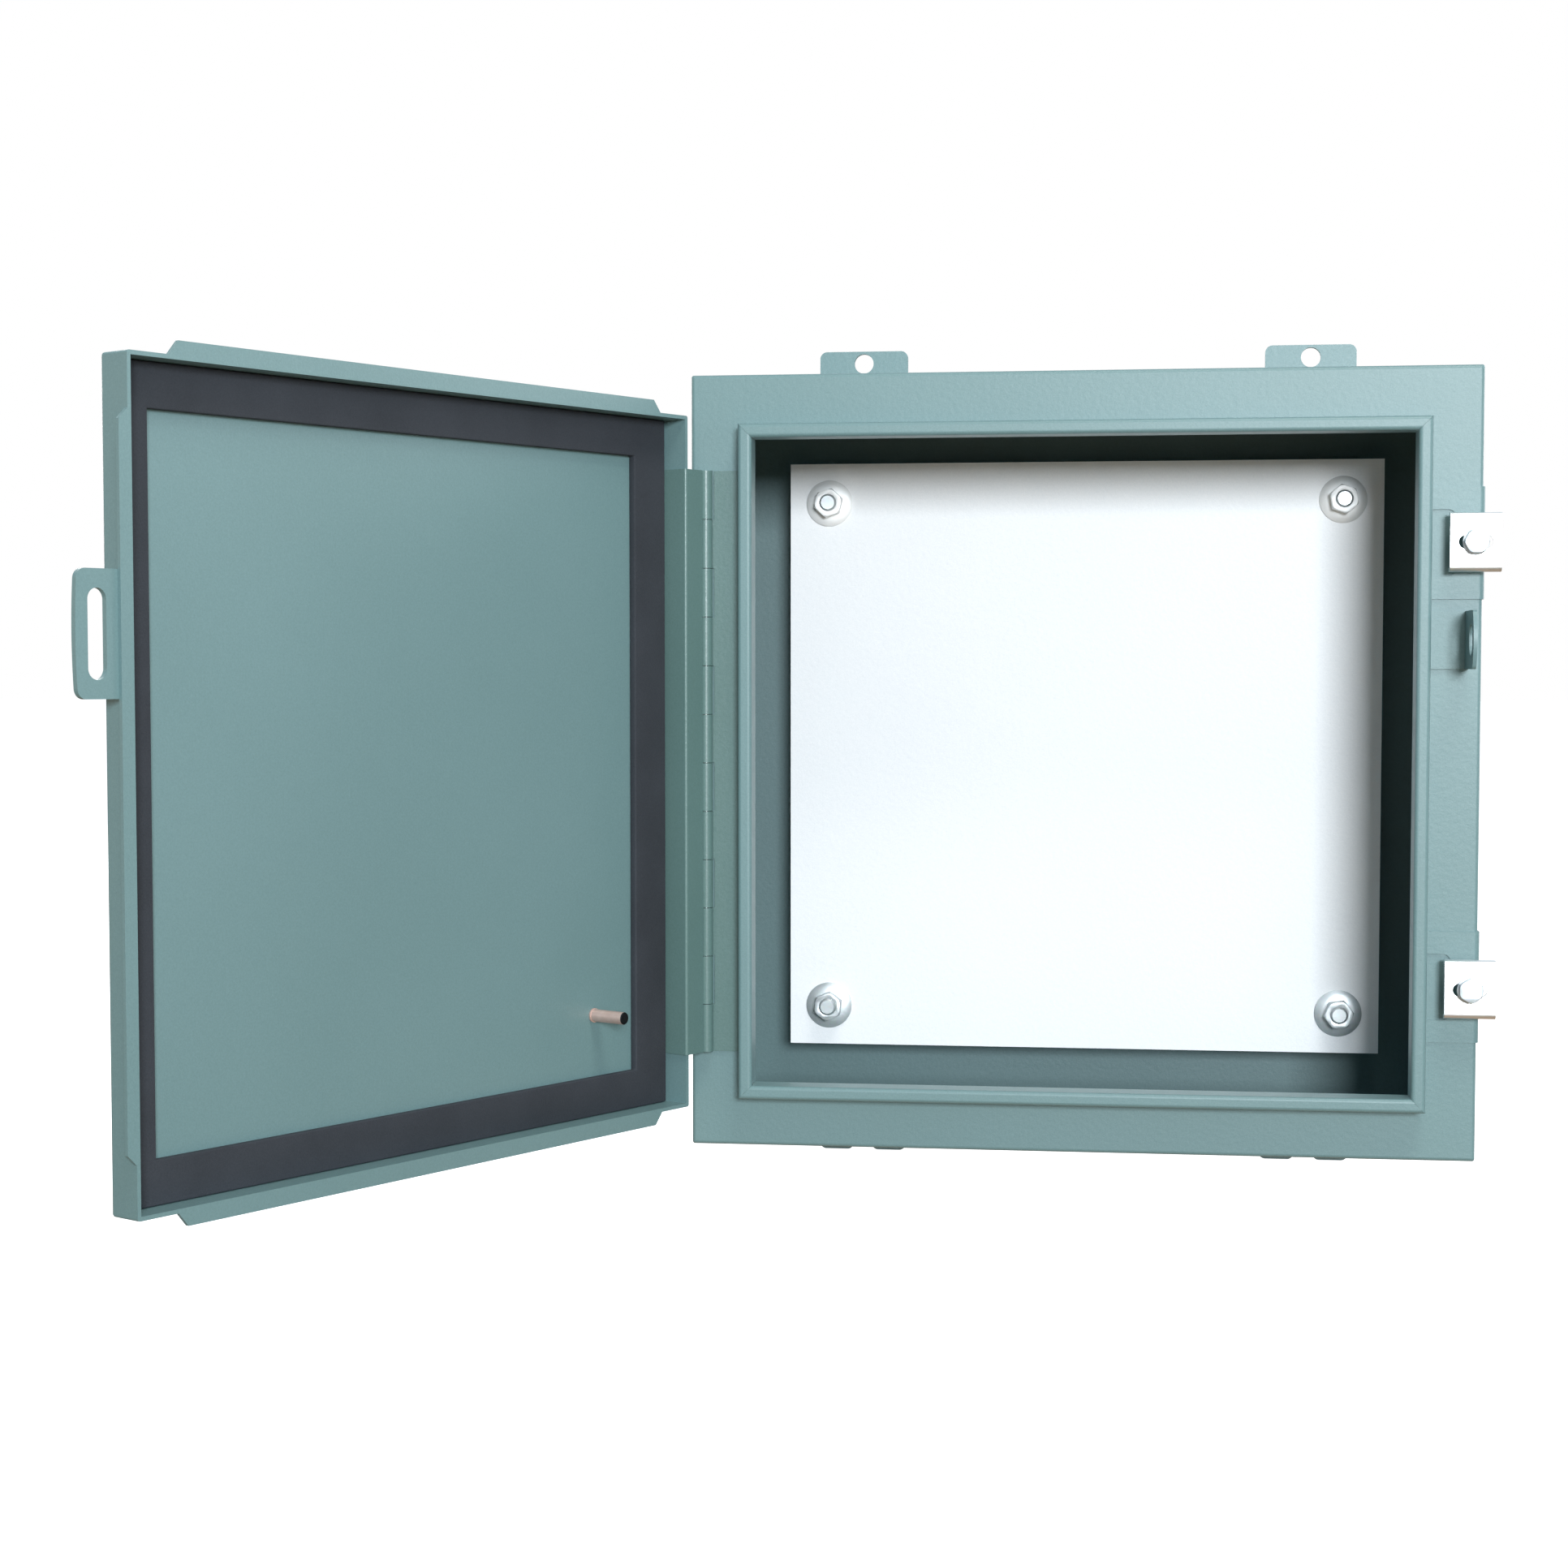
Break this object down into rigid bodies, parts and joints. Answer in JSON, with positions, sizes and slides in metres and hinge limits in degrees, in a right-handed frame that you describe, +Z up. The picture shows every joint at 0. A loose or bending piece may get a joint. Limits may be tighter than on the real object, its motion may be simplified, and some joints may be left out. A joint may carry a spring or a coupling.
{
  "type": "wall-mounted steel control cabinet",
  "caption": "Shallow wall-mounted steel cabinet with a side-hinged gasketed door, sliding screw clamps, padlock hasp, mounting feet and a white inner panel.",
  "frame": {"origin": "on the wall plane behind the cabinet, level with the middle of the body", "axes": "+Y into the wall, the front faces -Y, +X to the viewer's right, +Z up"},
  "size_m": [0.6107, 0.5058, 0.4648],
  "materials": {
    "powder_coat": "fine-textured blue-grey powder coat",
    "panel_white": "smooth white enamel",
    "gasket_foam": "matte foamed polyurethane",
    "bright_zinc": "bright zinc plate",
    "plated_nut": "zinc plate",
    "copper_flash": "copper-flashed steel",
    "bare_steel": "plain steel"
  },
  "bodies": {
    "cabinet": {"body_shell": "powder_coat", "lip_channel": "powder_coat", "back_plate": "powder_coat", "upper_feet": "powder_coat", "lower_feet": "powder_coat", "panel_studs": "bare_steel", "inner_panel": "panel_white", "panel_nuts": "plated_nut", "body_ground_stud": "copper_flash", "hinge_body_leaf": "powder_coat", "hinge_pin": "bare_steel", "padlock_staple": "powder_coat", "upper_clamp_bracket": "powder_coat", "lower_clamp_bracket": "powder_coat", "upper_clamp_bridge": "powder_coat", "lower_clamp_bridge": "powder_coat", "upper_weld_nut": "bare_steel", "lower_weld_nut": "bare_steel"},
    "door": {"door_shell": "powder_coat", "door_gasket": "gasket_foam", "hinge_door_leaf": "powder_coat", "padlock_hasp": "powder_coat", "door_ground_stud": "copper_flash"},
    "upper_clamp": {"upper_clamp": "bright_zinc"},
    "lower_clamp": {"lower_clamp": "bright_zinc"},
    "upper_washer": {"upper_clamp_washer": "bright_zinc"},
    "lower_washer": {"lower_clamp_washer": "bright_zinc"},
    "upper_screw": {"upper_clamp_screw": "bright_zinc"},
    "lower_screw": {"lower_clamp_screw": "bright_zinc"}
  },
  "joints": [
    {"name": "door_hinge", "type": "hinge", "parent": "cabinet", "child": "door", "pos_m": [-0.1948, -0.1594, 0], "axis": [0, 0, -1], "range_deg": [-120, 60]},
    {"name": "upper_clamp_slide", "type": "slide", "parent": "cabinet", "child": "upper_clamp", "axis": [1, 0, 0], "range_m": [-0.0046, 0.0048]},
    {"name": "lower_clamp_slide", "type": "slide", "parent": "cabinet", "child": "lower_clamp", "axis": [1, 0, 0], "range_m": [-0.0046, 0.0048]},
    {"name": "upper_screw_travel", "type": "slide", "parent": "cabinet", "child": "upper_washer", "axis": [0, -1, 0], "range_m": [0, 0.00254]},
    {"name": "lower_screw_travel", "type": "slide", "parent": "cabinet", "child": "lower_washer", "axis": [0, -1, 0], "range_m": [0, 0.00254]},
    {"name": "upper_screw_turn", "type": "hinge", "parent": "upper_washer", "child": "upper_screw", "pos_m": [0.198, -0.17, 0.1132], "axis": [0, -1, 0], "range_deg": [0, 720]},
    {"name": "lower_screw_turn", "type": "hinge", "parent": "lower_washer", "child": "lower_screw", "pos_m": [0.198, -0.17, -0.1132], "axis": [0, -1, 0], "range_deg": [0, 720]}
  ],
  "couplings": [
    {"joint": "upper_screw_turn", "follows": "upper_screw_travel", "rad_per_m": 4947.4},
    {"joint": "lower_screw_turn", "follows": "lower_screw_travel", "rad_per_m": 4947.4}
  ]
}
